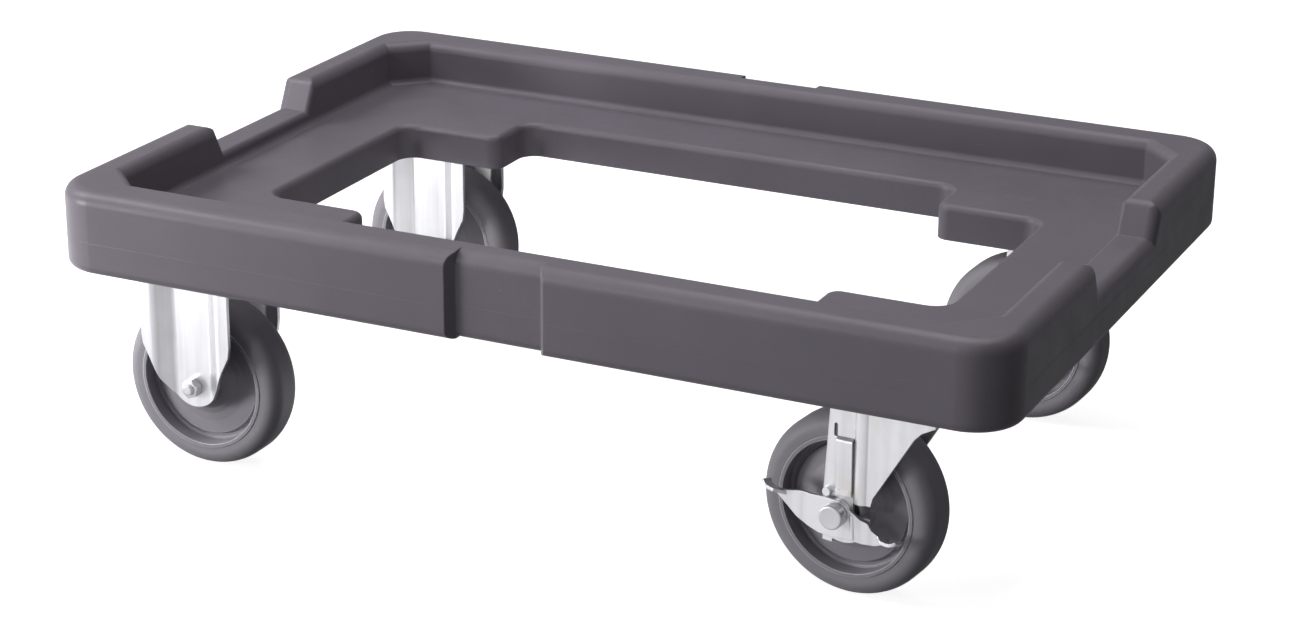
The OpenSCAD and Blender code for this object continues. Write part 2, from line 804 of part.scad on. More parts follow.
// two-armed brake lever: press the rear pedal to lock, the front pedal to free
module brake_lever() {
    bead = 1.6;
    bead_at = [12.9, -4];
    bead_length = 17;
    bead_tilt = -17;
    color(zinc) translate([-trail, 0, wheel_radius]) rotate([0, lever_lean, 0]) difference() {
        union() {
            translate([0, -lever_inner, 0]) rotate([90, 0, 0]) linear_extrude(lever_sheet) lever_outline();
            translate([0, -leg_face - face_gap, 0]) rotate([90, 0, 0])
                cylinder(r = lever_boss_radius, h = lever_inner - leg_face);
            for (s = [0, 1]) mirror([s, 0, 0]) pedal(lever_reach - (1 - s) * arm_difference);
            translate([bead_at[0], -lever_inner - lever_sheet + bead / 3, bead_at[1]])
                rotate([0, bead_tilt, 0]) cylinder(r = bead, h = bead_length, center = true);
        }
        rotate([90, 0, 0]) cylinder(r = axle_radius + running, h = 4 * leg_face, center = true);
    }
}

// places of the four casters and the pieces that go there

module at_caster(side, end) translate([end * caster_pitch_x / 2, side * caster_pitch_y / 2, 0]) children();
module front_left() at_caster(-1, -1) children();
module back_left() at_caster(1, -1) children();
module front_right() at_caster(-1, 1) children();
module back_right() at_caster(1, 1) children();
module front_swivel() front_right() rotate([0, 0, front_turn]) children();
module back_swivel() back_right() rotate([0, 0, back_turn]) children();
module front_trailing() front_swivel() translate([-trail, 0, 0]) children();
module back_trailing() back_swivel() translate([-trail, 0, 0]) children();

module inserts_front_left() front_left() inserts();
module inserts_back_left() back_left() inserts();
module inserts_front_right() front_right() inserts();
module inserts_back_right() back_right() inserts();
module bolts_front_left() front_left() plate_bolts();
module bolts_back_left() back_left() plate_bolts();
module bolts_front_right() front_right() plate_bolts();
module bolts_back_right() back_right() plate_bolts();
module fixed_fork_front_left() front_left() fixed_fork();
module fixed_fork_back_left() back_left() fixed_fork();
module axle_bolt_front_left() front_left() axle_bolt(1, leg_face);
module axle_bolt_back_left() back_left() axle_bolt(1, leg_face);
module axle_bolt_front_right() front_trailing() axle_bolt(-1, head_seat);
module axle_bolt_back_right() back_trailing() axle_bolt(-1, head_seat);
module axle_nut_front_left() front_left() axle_nut(-1);
module axle_nut_back_left() back_left() axle_nut(-1);
module axle_nut_front_right() front_trailing() axle_nut(1);
module axle_nut_back_right() back_trailing() axle_nut(1);
module axle_tube_front_left() front_left() axle_tube();
module axle_tube_back_left() back_left() axle_tube();
module axle_tube_front_right() front_trailing() axle_tube();
module axle_tube_back_right() back_trailing() axle_tube();
module wheel_core_front_left() front_left() wheel_core();
module wheel_core_back_left() back_left() wheel_core();
module wheel_core_front_right() front_trailing() wheel_core();
module wheel_core_back_right() back_trailing() wheel_core();
module tyre_front_left() front_left() tyre();
module tyre_back_left() back_left() tyre();
module tyre_front_right() front_trailing() tyre();
module tyre_back_right() back_trailing() tyre();
module bushes_front_left() front_left() bushes();
module bushes_back_left() back_left() bushes();
module bushes_front_right() front_trailing() bushes();
module bushes_back_right() back_trailing() bushes();
module swivel_plate_front_right() front_right() swivel_plate();
module swivel_plate_back_right() back_right() swivel_plate();
module king_pin_front_right() front_right() king_pin();
module king_pin_back_right() back_right() king_pin();
module lower_race_front_right() front_swivel() lower_race();
module lower_race_back_right() back_swivel() lower_race();
module race_balls_front_right() front_swivel() race_balls();
module race_balls_back_right() back_swivel() race_balls();
module swivel_fork_front_right() front_swivel() swivel_fork();
module swivel_fork_back_right() back_swivel() swivel_fork();
module brake_lever_front_right() front_swivel() brake_lever();
module brake_lever_back_right() back_swivel() brake_lever();
module brake_spring_front_right() front_swivel() brake_spring();
module brake_spring_back_right() back_swivel() brake_spring();

frame_shell();
inserts_front_left();
inserts_back_left();
inserts_front_right();
inserts_back_right();
bolts_front_left();
bolts_back_left();
bolts_front_right();
bolts_back_right();
fixed_fork_front_left();
fixed_fork_back_left();
axle_bolt_front_left();
axle_bolt_back_left();
axle_bolt_front_right();
axle_bolt_back_right();
axle_nut_front_left();
axle_nut_back_left();
axle_nut_front_right();
axle_nut_back_right();
axle_tube_front_left();
axle_tube_back_left();
axle_tube_front_right();
axle_tube_back_right();
wheel_core_front_left();
wheel_core_back_left();
wheel_core_front_right();
wheel_core_back_right();
tyre_front_left();
tyre_back_left();
tyre_front_right();
tyre_back_right();
bushes_front_left();
bushes_back_left();
bushes_front_right();
bushes_back_right();
swivel_plate_front_right();
swivel_plate_back_right();
king_pin_front_right();
king_pin_back_right();
lower_race_front_right();
lower_race_back_right();
race_balls_front_right();
race_balls_back_right();
swivel_fork_front_right();
swivel_fork_back_right();
brake_lever_front_right();
brake_lever_back_right();
brake_spring_front_right();
brake_spring_back_right();
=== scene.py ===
import json
import math
import random

import bmesh
import bpy
from mathutils import Matrix, Vector


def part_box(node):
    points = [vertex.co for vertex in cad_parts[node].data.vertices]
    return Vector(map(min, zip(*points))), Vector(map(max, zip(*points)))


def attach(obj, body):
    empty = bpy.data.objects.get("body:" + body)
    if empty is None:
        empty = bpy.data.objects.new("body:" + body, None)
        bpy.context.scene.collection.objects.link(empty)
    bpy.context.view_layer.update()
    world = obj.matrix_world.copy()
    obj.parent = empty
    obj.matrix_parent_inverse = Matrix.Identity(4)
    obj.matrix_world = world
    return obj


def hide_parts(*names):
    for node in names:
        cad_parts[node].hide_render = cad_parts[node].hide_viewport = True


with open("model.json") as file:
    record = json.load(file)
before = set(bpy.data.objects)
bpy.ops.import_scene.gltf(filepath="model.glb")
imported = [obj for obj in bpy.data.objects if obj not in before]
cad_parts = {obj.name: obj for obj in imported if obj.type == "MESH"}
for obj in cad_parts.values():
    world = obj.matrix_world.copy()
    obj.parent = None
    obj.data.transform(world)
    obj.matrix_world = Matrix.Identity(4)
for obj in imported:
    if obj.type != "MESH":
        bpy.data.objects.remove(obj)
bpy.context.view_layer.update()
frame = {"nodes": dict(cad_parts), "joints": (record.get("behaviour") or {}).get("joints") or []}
nodes = frame["nodes"]
joints = {joint["name"]: joint for joint in frame["joints"]}
mm = 0.001
random.seed(7)
print("stage 1: model loaded,", len(nodes), "nodes")

cornerNames = ("front_left", "back_left", "front_right", "back_right")


# material helpers

def newShader(name, color, roughness, metallic=0.0):
    material = bpy.data.materials.new(name)
    material.use_nodes = True
    tree = material.node_tree
    shader = tree.nodes["Principled BSDF"]
    shader.inputs["Base Color"].default_value = (*color, 1)
    shader.inputs["Roughness"].default_value = roughness
    shader.inputs["Metallic"].default_value = metallic
    return material, tree, shader


def addNode(tree, kind, **values):
    # values whose names are inputs of the node are set there, the rest are its own properties
    node = tree.nodes.new("ShaderNode" + kind)
    for key, value in values.items():
        label = key.replace("_", " ")
        if label in node.inputs:
            node.inputs[label].default_value = value
        else:
            setattr(node, key, value)
    return node


def objectPlace(tree, stretch=(1, 1, 1), turn=(0, 0, 0)):
    place = addNode(tree, "TexCoord")
    mapping = addNode(tree, "Mapping", Scale=stretch, Rotation=turn)
    tree.links.new(place.outputs["Object"], mapping.inputs["Vector"])
    return mapping.outputs["Vector"]


def noiseField(tree, vector, scale, detail=2.0, rough=0.5):
    node = addNode(tree, "TexNoise", Scale=scale, Detail=detail, Roughness=rough)
    tree.links.new(vector, node.inputs["Vector"])
    return node.outputs["Fac"]


def speckField(tree, vector, scale):
    node = addNode(tree, "TexVoronoi", Scale=scale)
    tree.links.new(vector, node.inputs["Vector"])
    return node.outputs["Distance"]


def span(tree, value, fromLow, fromHigh, toLow, toHigh):
    node = addNode(tree, "MapRange")
    for index, number in enumerate((fromLow, fromHigh, toLow, toHigh)):
        node.inputs[index + 1].default_value = number
    tree.links.new(value, node.inputs[0])
    return node.outputs[0]


def calc(tree, operation, first, second):
    node = addNode(tree, "Math", operation=operation)
    for index, item in enumerate((first, second)):
        if isinstance(item, (int, float)):
            node.inputs[index].default_value = item
        else:
            tree.links.new(item, node.inputs[index])
    return node.outputs[0]


def blendColor(tree, factor, first, second):
    node = addNode(tree, "Mix", data_type="RGBA")
    tree.links.new(factor, node.inputs["Factor"])
    for slotName, item in (("A", first), ("B", second)):
        socket = [s for s in node.inputs if s.name == slotName and s.type == "RGBA"][0]
        if isinstance(item, tuple):
            socket.default_value = (*item, 1)
        else:
            tree.links.new(item, socket)
    return [s for s in node.outputs if s.type == "RGBA"][0]


def relief(tree, shader, height, distance, strength=1.0, soften=0.0):
    # fine surface relief on top of edges that are softened by a small radius
    bump = addNode(tree, "Bump", Distance=distance, Strength=strength)
    tree.links.new(height, bump.inputs["Height"])
    if soften:
        bevel = addNode(tree, "Bevel", samples=6, Radius=soften)
        tree.links.new(bevel.outputs["Normal"], bump.inputs["Normal"])
    tree.links.new(bump.outputs["Normal"], shader.inputs["Normal"])


def edgeMask(tree, radius, low, high):
    # 0 on flat faces, towards 1 on edges
    bevel = addNode(tree, "Bevel", samples=6, Radius=radius)
    geometry = addNode(tree, "NewGeometry")
    dot = addNode(tree, "VectorMath", operation="DOT_PRODUCT")
    tree.links.new(bevel.outputs["Normal"], dot.inputs[0])
    tree.links.new(geometry.outputs["Normal"], dot.inputs[1])
    return span(tree, dot.outputs["Value"], high, low, 0.0, 1.0)


# materials; scales and stretches are per metre

frameLook = {
    "color": (0.165, 0.146, 0.177),
    "darker": (0.142, 0.126, 0.152),
    "worn": (0.240, 0.220, 0.252),
    "roughness": 0.36,
    "specular": 0.28,
    "cloudScale": 9,
    "grainScale": 1500,
    "wearRadius": 2.2 * mm,  # edges sharper than this are rubbed pale
    "wearScale": 55,
    "speckScale": 26,
    "scuffStretch": (30, 30, 420),
    "scuffTurn": (0.3, 0.1, 0.5),
    "glossScale": 38,
    "peelScale": 620,        # orange peel of a rotational moulding
    "waveScale": 24,
    "pitScale": 950,
    "peelDepth": 0.1 * mm,
    "softEdge": 1.6 * mm,
}


def makeFramePlastic():
    look = frameLook
    material, tree, shader = newShader("mouldedPlastic", look["color"], look["roughness"])
    shader.inputs["Specular IOR Level"].default_value = look["specular"]
    place = objectPlace(tree)
    cloud = noiseField(tree, place, look["cloudScale"], 4, 0.6)
    grain = noiseField(tree, place, look["grainScale"], 2, 0.6)
    mottled = blendColor(tree, span(tree, cloud, 0.3, 0.7, 0, 1), look["darker"], look["color"])
    grained = blendColor(tree, span(tree, grain, 0.35, 0.75, 0, 0.25), mottled, look["worn"])
    # rubbed edges, broken up so that they don't run like a drawn line
    breakup = noiseField(tree, place, look["wearScale"], 5, 0.7)
    rubbed = calc(tree, "MULTIPLY", edgeMask(tree, look["wearRadius"], 0.86, 0.995),
                  span(tree, breakup, 0.42, 0.72, 0, 0.55))
    edged = blendColor(tree, rubbed, grained, look["worn"])
    # a few pale specks and faint scuffs
    specks = span(tree, speckField(tree, place, look["speckScale"]), 0.020, 0.034, 0.7, 0.0)
    scuffPlace = objectPlace(tree, look["scuffStretch"], look["scuffTurn"])
    scuffs = span(tree, noiseField(tree, scuffPlace, 1.0, 3, 0.55), 0.69, 0.80, 0.0, 0.35)
    marks = calc(tree, "MAXIMUM", specks, scuffs)
    tree.links.new(blendColor(tree, marks, edged, look["worn"]), shader.inputs["Base Color"])
    gloss = noiseField(tree, place, look["glossScale"], 4, 0.6)
    tree.links.new(span(tree, gloss, 0.25, 0.75, look["roughness"] - 0.06, look["roughness"] + 0.08),
                   shader.inputs["Roughness"])
    peel = noiseField(tree, place, look["peelScale"], 2, 0.5)
    wave = noiseField(tree, place, look["waveScale"], 2, 0.5)
    pits = span(tree, speckField(tree, place, look["pitScale"]), 0.0, 0.22, 0.0, 1.0)
    height = calc(tree, "ADD", calc(tree, "MULTIPLY", peel, 0.6),
                  calc(tree, "ADD", calc(tree, "MULTIPLY", wave, 2.2), calc(tree, "MULTIPLY", pits, 0.25)))
    relief(tree, shader, height, look["peelDepth"], 1.0, look["softEdge"])
    return material


rubberLook = {
    "color": (0.312, 0.293, 0.332),
    "dusty": (0.362, 0.343, 0.382),
    "roughness": 0.55,
    "dustScale": 60,
    "grainScale": 1800,
    "grainDepth": 0.06 * mm,
    "softEdge": 0.6 * mm,
}


def makeRubber():
    look = rubberLook
    material, tree, shader = newShader("greyRubber", look["color"], look["roughness"])
    place = objectPlace(tree)
    cloud = noiseField(tree, place, look["dustScale"], 5, 0.65)
    fine = noiseField(tree, place, look["grainScale"], 2, 0.5)
    dust = calc(tree, "MULTIPLY", span(tree, cloud, 0.45, 0.75, 0, 0.8),
                span(tree, fine, 0.3, 0.7, 0.5, 1))
    tree.links.new(blendColor(tree, dust, look["color"], look["dusty"]), shader.inputs["Base Color"])
    tree.links.new(span(tree, cloud, 0.3, 0.7, look["roughness"] - 0.05, look["roughness"] + 0.10),
                   shader.inputs["Roughness"])
    relief(tree, shader, fine, look["grainDepth"], 0.8, look["softEdge"])
    return material


coreLook = {
    "color": (0.325, 0.304, 0.348),
    "pale": (0.360, 0.340, 0.384),
    # colour of the painted highlight on the rims and steps
    "edge": (0.850, 0.830, 0.880),
    "ringHighlightRadius": 1.5 * mm,
    "roughness": 0.45,
    "cloudScale": 45,
    "grainScale": 1300,
    "grainDepth": 0.04 * mm,
    "softEdge": 0.8 * mm,
}


def makeCorePlastic():
    look = coreLook
    material, tree, shader = newShader("wheelPlastic", look["color"], look["roughness"])
    place = objectPlace(tree)
    cloud = noiseField(tree, place, look["cloudScale"], 4, 0.6)
    fine = noiseField(tree, place, look["grainScale"], 2, 0.5)
    clouded = blendColor(tree, span(tree, cloud, 0.35, 0.75, 0, 0.7), look["color"], look["pale"])
    # painted highlight: the rims and steps of the moulding get pale rings in place of the light their rounded
    # edges catch
    rings = edgeMask(tree, look["ringHighlightRadius"], 0.84, 0.99)
    tree.links.new(blendColor(tree, rings, clouded, look["edge"]), shader.inputs["Base Color"])
    tree.links.new(span(tree, cloud, 0.3, 0.7, look["roughness"] - 0.05, look["roughness"] + 0.08),
                   shader.inputs["Roughness"])
    relief(tree, shader, fine, look["grainDepth"], 0.8, look["softEdge"])
    return material


zincLook = {
    "sheetColor": (0.70, 0.70, 0.715),
    "partColor": (0.54, 0.54, 0.56),
    "dull": (0.53, 0.53, 0.555),
    "stain": (0.61, 0.58, 0.52),
    "metallic": 0.80,        # the rest is the pale film that the plating leaves
    "roughness": 0.34,
    "sheetStretch": (130, 130, 5),
    "partStretch": (260, 260, 260),
    "cloudScale": 38,
    "grainScale": 900,
    "stainScale": 30,
    "sheetEdge": 0.7 * mm,
    "partEdge": 0.3 * mm,
    "streakDepth": 0.03 * mm,
}


def makeZinc(name, color, stretch, softEdge):
    look = zincLook
    material, tree, shader = newShader(name, color, look["roughness"], look["metallic"])
    place = objectPlace(tree)
    # broad streaks that run with the sheet, clouds of the plating and a few warm stains
    streaks = noiseField(tree, objectPlace(tree, stretch), 1.0, 2, 0.5)
    cloud = noiseField(tree, place, look["cloudScale"], 2, 0.5)
    grain = noiseField(tree, place, look["grainScale"], 2, 0.5)
    base = blendColor(tree, span(tree, cloud, 0.45, 0.75, 0, 0.5), color, look["dull"])
    streaked = blendColor(tree, span(tree, streaks, 0.42, 0.72, 0, 0.75), base, look["dull"])
    stain = noiseField(tree, place, look["stainScale"], 3, 0.6)
    tree.links.new(blendColor(tree, span(tree, stain, 0.56, 0.76, 0, 0.8), streaked, look["stain"]),
                   shader.inputs["Base Color"])
    shine = calc(tree, "ADD", span(tree, cloud, 0.3, 0.7, look["roughness"] - 0.04, look["roughness"] + 0.08),
                 span(tree, grain, 0.3, 0.7, -0.02, 0.03))
    tree.links.new(shine, shader.inputs["Roughness"])
    height = calc(tree, "ADD", calc(tree, "MULTIPLY", streaks, 2.0), calc(tree, "MULTIPLY", grain, 0.12))
    relief(tree, shader, height, look["streakDepth"], 1.0, softEdge)
    return material


bushLook = {
    "color": (0.020, 0.020, 0.023),
    "pale": (0.034, 0.034, 0.038),
    "smooth": 0.36,
    "rough": 0.5,
    "metallic": 0.0,
    "stretch": (1, 1, 1),
    "grainScale": 900,
    "grainDepth": 0.03 * mm,
    "softEdge": 0.4 * mm,
}
brassLook = {
    "color": (0.62, 0.46, 0.22),
    "pale": (0.78, 0.60, 0.31),
    "smooth": 0.24,
    "rough": 0.42,
    "metallic": 1.0,
    "stretch": (1, 1, 6),    # marks of turning run round the insert
    "grainScale": 700,
    "grainDepth": 0.03 * mm,
    "softEdge": 0.3 * mm,
}


def makeGrained(name, look):
    material, tree, shader = newShader(name, look["color"], look["rough"], look["metallic"])
    grain = noiseField(tree, objectPlace(tree, look["stretch"]), look["grainScale"], 3, 0.6)
    tree.links.new(span(tree, grain, 0.3, 0.7, look["smooth"], look["rough"]), shader.inputs["Roughness"])
    tree.links.new(blendColor(tree, grain, look["color"], look["pale"]), shader.inputs["Base Color"])
    relief(tree, shader, grain, look["grainDepth"], 0.8, look["softEdge"])
    return material


framePlastic = makeFramePlastic()
rubber = makeRubber()
corePlastic = makeCorePlastic()
zincSheet = makeZinc("zincSheet", zincLook["sheetColor"], zincLook["sheetStretch"], zincLook["sheetEdge"])
zincPart = makeZinc("zincPart", zincLook["partColor"], zincLook["partStretch"], zincLook["partEdge"])
bushPlastic = makeGrained("bushPlastic", bushLook)
brass = makeGrained("brassInsert", brassLook)

nodeMaterials = {
    "frame_shell": framePlastic,
    "inserts": brass,
    "fixed_fork": zincSheet,
    "swivel_fork": zincSheet,
    "brake_lever": zincSheet,
    "brake_spring": zincSheet,
    "swivel_plate": zincSheet,
    "wheel_core": corePlastic,
    "tyre": rubber,
    "bushes": bushPlastic,
}
for nodeName, nodeObject in nodes.items():
    chosen = [m for start, m in nodeMaterials.items() if nodeName.startswith(start)]
    finish = chosen[0] if chosen else zincPart
    nodeObject.data.materials.clear()
    nodeObject.data.materials.append(finish)
print("stage 2: materials set")


# mesh helpers

def addPiece(name, mesh, material, body, smoothAngle=32):
    mesh.polygons.foreach_set("use_smooth", [True] * len(mesh.polygons))
    mesh.set_sharp_from_angle(angle=math.radians(smoothAngle))
    mesh.materials.append(material)
    piece = bpy.data.objects.new(name, mesh)
    bpy.context.scene.collection.objects.link(piece)
    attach(piece, body)
    return piece


def axisMatrix(origin, direction, upward=(0, 0, 1)):
    # local Z runs along the direction, local X lies level
    z = Vector(direction).normalized()
    x = Vector(upward).cross(z)
    if x.length < 1e-6:
        x = Vector((1, 0, 0))
    x.normalize()
    y = z.cross(x)
    return Matrix.Translation(origin) @ Matrix((x, y, z)).transposed().to_4x4()


def ringSurface(bm, matrix, rings, closeStart=True, closeEnd=True):
    # rings: lists of (x, y, z) of equal length, joined in order
    made = [[bm.verts.new(matrix @ Vector(p)) for p in ring] for ring in rings]
    count = len(made[0])
    for lower, upper in zip(made, made[1:]):
        for i in range(count):
            j = (i + 1) % count
            bm.faces.new((lower[i], lower[j], upper[j], upper[i]))
    if closeStart:
        bm.faces.new(list(reversed(made[0])))
    if closeEnd:
        bm.faces.new(made[-1])


def circleRing(radius, z, count=72):
    return [(radius * math.cos(2 * math.pi * i / count), radius * math.sin(2 * math.pi * i / count), z)
            for i in range(count)]


def hexRadii(across, count=72):
    # distance from the middle of a hexagon to its outline at equal steps of angle
    return [across / 2 / math.cos(math.radians((360 * i / count) % 60 - 30)) for i in range(count)]


def addHex(bm, matrix, across, height, bothEnds=False, hole=0.0, count=72):
    # hexagon with its corners turned off at 30 degrees on the outer end, or on both ends
    radii = hexRadii(across, count)
    flat = across / 2 * 0.94
    drop = math.tan(math.radians(30))
    angles = [2 * math.pi * i / count for i in range(count)]

    def ring(level, outward):
        points = []
        for angle, radius in zip(angles, radii):
            z = level - outward * (radius - flat) * drop
            points.append((radius * math.cos(angle), radius * math.sin(angle), z))
        return points

    rings = []
    if bothEnds:
        if hole:
            rings += [circleRing(hole, hole * 0.1, count), circleRing(hole * 1.12, 0, count)]
        rings += [circleRing(flat, 0, count), ring(0, -1)]
    else:
        rings.append([(r * math.cos(a), r * math.sin(a), 0) for a, r in zip(angles, radii)])
    rings += [ring(height, 1), circleRing(flat, height, count)]
    if hole:
        rings += [circleRing(hole * 1.12, height, count), circleRing(hole, height - hole * 0.1, count)]
    else:
        # shallow dish that cold-headed bolts have
        rings += [circleRing(flat * 0.82, height, count), circleRing(flat * 0.76, height - 0.3 * mm, count)]
    ringSurface(bm, matrix, rings, closeStart=not (bothEnds and hole), closeEnd=not hole)


def addWasher(bm, matrix, radius, hole, thickness):
    edge = thickness * 0.25
    ringSurface(bm, matrix, [
        circleRing(hole, 0), circleRing(radius - edge, 0), circleRing(radius, edge),
        circleRing(radius, thickness - edge), circleRing(radius - edge, thickness),
        circleRing(hole, thickness), circleRing(hole, 0)], closeStart=False, closeEnd=False)


def addThread(bm, matrix, radius, pitch, start, end, count=48):
    # helical thread as a grid, with a turned-down tip
    stepsPerTurn = 8
    steps = max(2, round((end - start) / pitch * stepsPerTurn))
    depth = 0.55 * pitch
    rings = [circleRing(radius - depth, start, count)]
    for k in range(steps + 1):
        z = start + (end - start) * k / steps
        tipLoss = max(0.0, depth * 1.4 - (end - z)) * 0.8
        ring = []
        for i in range(count):
            turn = i / count
            phase = ((z - start) / pitch - turn) % 1.0
            wave = abs(2 * phase - 1)
            r = max(radius - depth * wave - tipLoss, radius * 0.6)
            ring.append((r * math.cos(2 * math.pi * turn), r * math.sin(2 * math.pi * turn), z))
        rings.append(ring)
    rings.append(circleRing(radius * 0.55, end, count))
    ringSurface(bm, matrix, rings)


def finishMesh(bm, name):
    bmesh.ops.recalc_face_normals(bm, faces=bm.faces)
    mesh = bpy.data.meshes.new(name)
    bm.to_mesh(mesh)
    bm.free()
    return mesh


# axle bolts with round heads and cut threads, and their chamfered nuts

axleSizes = {
    "nutAcross": 12 * mm,
    "nutHeight": 7 * mm,
    "headRadius": 8.3 * mm,
    "headHeight": 8.5 * mm,
    "headRound": 1.5 * mm,
    "boltRadius": 4 * mm,
    "threadPitch": 1.25 * mm,
    "threadDepth": 0.4 * mm,
    "threadInside": 4 * mm,
    "tipLength": 2.5 * mm,
    "legFace": 24 * mm,
    "headSeatFixed": 24 * mm,
    "headSeatBraked": 28.9 * mm,
}


def addRoundHead(bm, matrix, radius, height, rounding, count=72):
    # low round head: undercut foot, rounded shoulder, flat face with a faint dish
    foot = 0.35 * mm
    rings = [circleRing(radius - foot, 0, count), circleRing(radius, foot, count)]
    steps = 6
    for k in range(steps + 1):
        angle = math.pi / 2 * k / steps
        rings.append(circleRing(radius - rounding * (1 - math.cos(angle)),
                                height - rounding * (1 - math.sin(angle)), count))
    rings += [circleRing(radius * 0.70, height - 0.12 * mm, count),
              circleRing(radius * 0.30, height - 0.25 * mm, count)]
    ringSurface(bm, matrix, rings)


def wheelPlace(corner):
    joint = joints["spin_" + corner]
    return Vector(joint["pos_m"]), Vector(joint["axis"]).normalized()


def makeAxleFixings(corner):
    size = axleSizes
    centre, axis = wheelPlace(corner)
    braked = corner.endswith("right")
    body = "swivel_" + corner if braked else "frame"
    # the nut sits on the front of the fixed casters and on the back of the braked ones
    nutSide = axis if braked else -axis
    seat = size["headSeatBraked"] if braked else size["headSeatFixed"]
    turn = Matrix.Rotation(random.uniform(0, math.pi / 3), 4, "Z")
    bm = bmesh.new()
    nutPlace = axisMatrix(centre + nutSide * size["legFace"], nutSide) @ turn
    bore = size["boltRadius"] - size["threadDepth"]
    addHex(bm, nutPlace, size["nutAcross"], size["nutHeight"], True, bore)
    nutMesh = finishMesh(bm, "axleNutMesh_" + corner)
    nut = addPiece("axleNut_" + corner, nutMesh, zincPart, body)
    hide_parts("axle_nut_" + corner)
    bm = bmesh.new()
    end = size["legFace"] + size["nutHeight"] + size["tipLength"]
    shankPlace = axisMatrix(centre, nutSide)
    threadStart = size["legFace"] - size["threadInside"]
    ringSurface(bm, shankPlace, [circleRing(size["boltRadius"], -seat, 48),
                                 circleRing(size["boltRadius"], threadStart, 48)])
    addThread(bm, shankPlace, size["boltRadius"], size["threadPitch"], threadStart, end)
    headPlace = axisMatrix(centre - nutSide * seat, -nutSide)
    addRoundHead(bm, headPlace, size["headRadius"], size["headHeight"], size["headRound"])
    boltMesh = finishMesh(bm, "axleBoltMesh_" + corner)
    bolt = addPiece("axleBolt_" + corner, boltMesh, zincPart, body)
    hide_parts("axle_bolt_" + corner)


for corner in cornerNames:
    makeAxleFixings(corner)

# plate bolts with washers and dished hexagon heads

plateSizes = {
    "headAcross": 13 * mm,
    "headHeight": 5.3 * mm,
    "washerRadius": 8 * mm,
    "washerThickness": 1.2 * mm,
    "shankRadius": 4 * mm,
    "threadPitch": 1.25 * mm,
    "plateThickness": 3 * mm,
    "boltLength": 15 * mm,
}


def makePlateBolts(corner):
    size = plateSizes
    low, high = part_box("bolts_" + corner)
    top = high.z
    under = top - size["boltLength"] - size["plateThickness"]
    bm = bmesh.new()
    for x in (low.x + size["washerRadius"], high.x - size["washerRadius"]):
        for y in (low.y + size["washerRadius"], high.y - size["washerRadius"]):
            down = axisMatrix((x, y, under), (0, 0, -1))
            spin = Matrix.Rotation(random.uniform(0, math.pi / 3), 4, "Z")
            addWasher(bm, down, size["washerRadius"], size["shankRadius"], size["washerThickness"])
            addHex(bm, down @ Matrix.Translation((0, 0, size["washerThickness"])) @ spin,
                   size["headAcross"], size["headHeight"])
            up = Matrix.Translation((x, y, under - size["washerThickness"]))
            addThread(bm, up, size["shankRadius"], size["threadPitch"], 0,
                      top - under + size["washerThickness"], 24)
    mesh = finishMesh(bm, "plateBoltMesh_" + corner)
    bolts = addPiece("plateBolts_" + corner, mesh, zincPart, "frame")
    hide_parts("bolts_" + corner)


for corner in cornerNames:
    makePlateBolts(corner)
print("stage 3: fixings built")

# parting line, a fine seam round the outer wall of the moulded frame

lineSizes = {
    "height": 175 * mm,
    "width": 1.1 * mm,
    "depth": 0.15 * mm,
    "cornerRadius": 34 * mm,
    "recessHalf": 36 * mm,
    "recessStep": 5 * mm,
    "recessDepth": 7 * mm,
    # section of the line as (share of the width, share of the depth)
    "profile": [(-0.5, -0.4), (-0.28, 0.7), (0, 1.0), (0.28, 0.7), (0.5, -0.4)],
}


def framePath():
    # outline of the outer wall seen from above, anticlockwise
    size = lineSizes
    low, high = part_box("frame_shell")
    r = size["cornerRadius"]
    quarter = 14
    path = []

    def corner(cx, cy, start):
        for k in range(quarter + 1):
            angle = math.radians(start + 90 * k / quarter)
            path.append((cx + r * math.cos(angle), cy + r * math.sin(angle)))

    def recess(y, inward, direction):
        outer = size["recessHalf"]
        inner = size["recessHalf"] - size["recessStep"]
        for x, inside in ((-outer, 0), (-inner, 1), (inner, 1), (outer, 0)):
            path.append((direction * x, y + inward * inside * size["recessDepth"]))

    corner(low.x + r, low.y + r, 180)
    recess(low.y, 1, 1)
    corner(high.x - r, low.y + r, 270)
    corner(high.x - r, high.y - r, 0)
    recess(high.y, -1, -1)
    corner(low.x + r, high.y - r, 90)
    return path


def makePartingLine():
    size = lineSizes
    path = [Vector((x, y, 0)) for x, y in framePath()]
    profile = size["profile"]
    bm = bmesh.new()
    rings = []
    for i, point in enumerate(path):
        before = (point - path[i - 1]).normalized()
        after = (path[(i + 1) % len(path)] - point).normalized()
        tangent = (before + after).normalized()
        outward = Vector((tangent.y, -tangent.x, 0)) / max(0.5, tangent.dot(after))
        ring = []
        for w, d in profile:
            level = Vector((0, 0, size["height"] + w * size["width"]))
            ring.append(bm.verts.new(point + outward * (d * size["depth"]) + level))
        rings.append(ring)
    for i, ring in enumerate(rings):
        following = rings[(i + 1) % len(rings)]
        for a in range(len(profile) - 1):
            bm.faces.new((ring[a], following[a], following[a + 1], ring[a + 1]))
    mesh = finishMesh(bm, "partingLineMesh")
    return addPiece("partingLine", mesh, framePlastic, "frame")


makePartingLine()
print("stage 4: mould line built")

# floor, light and camera

floorLook = {
    "color": (0.60, 0.60, 0.61),
    "roughness": 0.7,
    "glow": 0.88,
    "size": 12,
}

# soft boxes aimed at the dolly: place, side length and power
softBoxes = {
    "sideKey": {"place": (-1.5, -1.3, 0.15), "size": 0.5, "power": 21},
    "edgeKey": {"place": (-1.2, -2.4, 1.25), "size": 0.35, "power": 8},
    "highKey": {"place": (-1.5, -0.7, 1.4), "size": 0.9, "power": 19},
    "overhead": {"place": (0.0, 0.3, 2.0), "size": 1.6, "power": 22},
    "rightFill": {"place": (2.0, -0.9, 0.5), "size": 1.4, "power": 1.8},
}

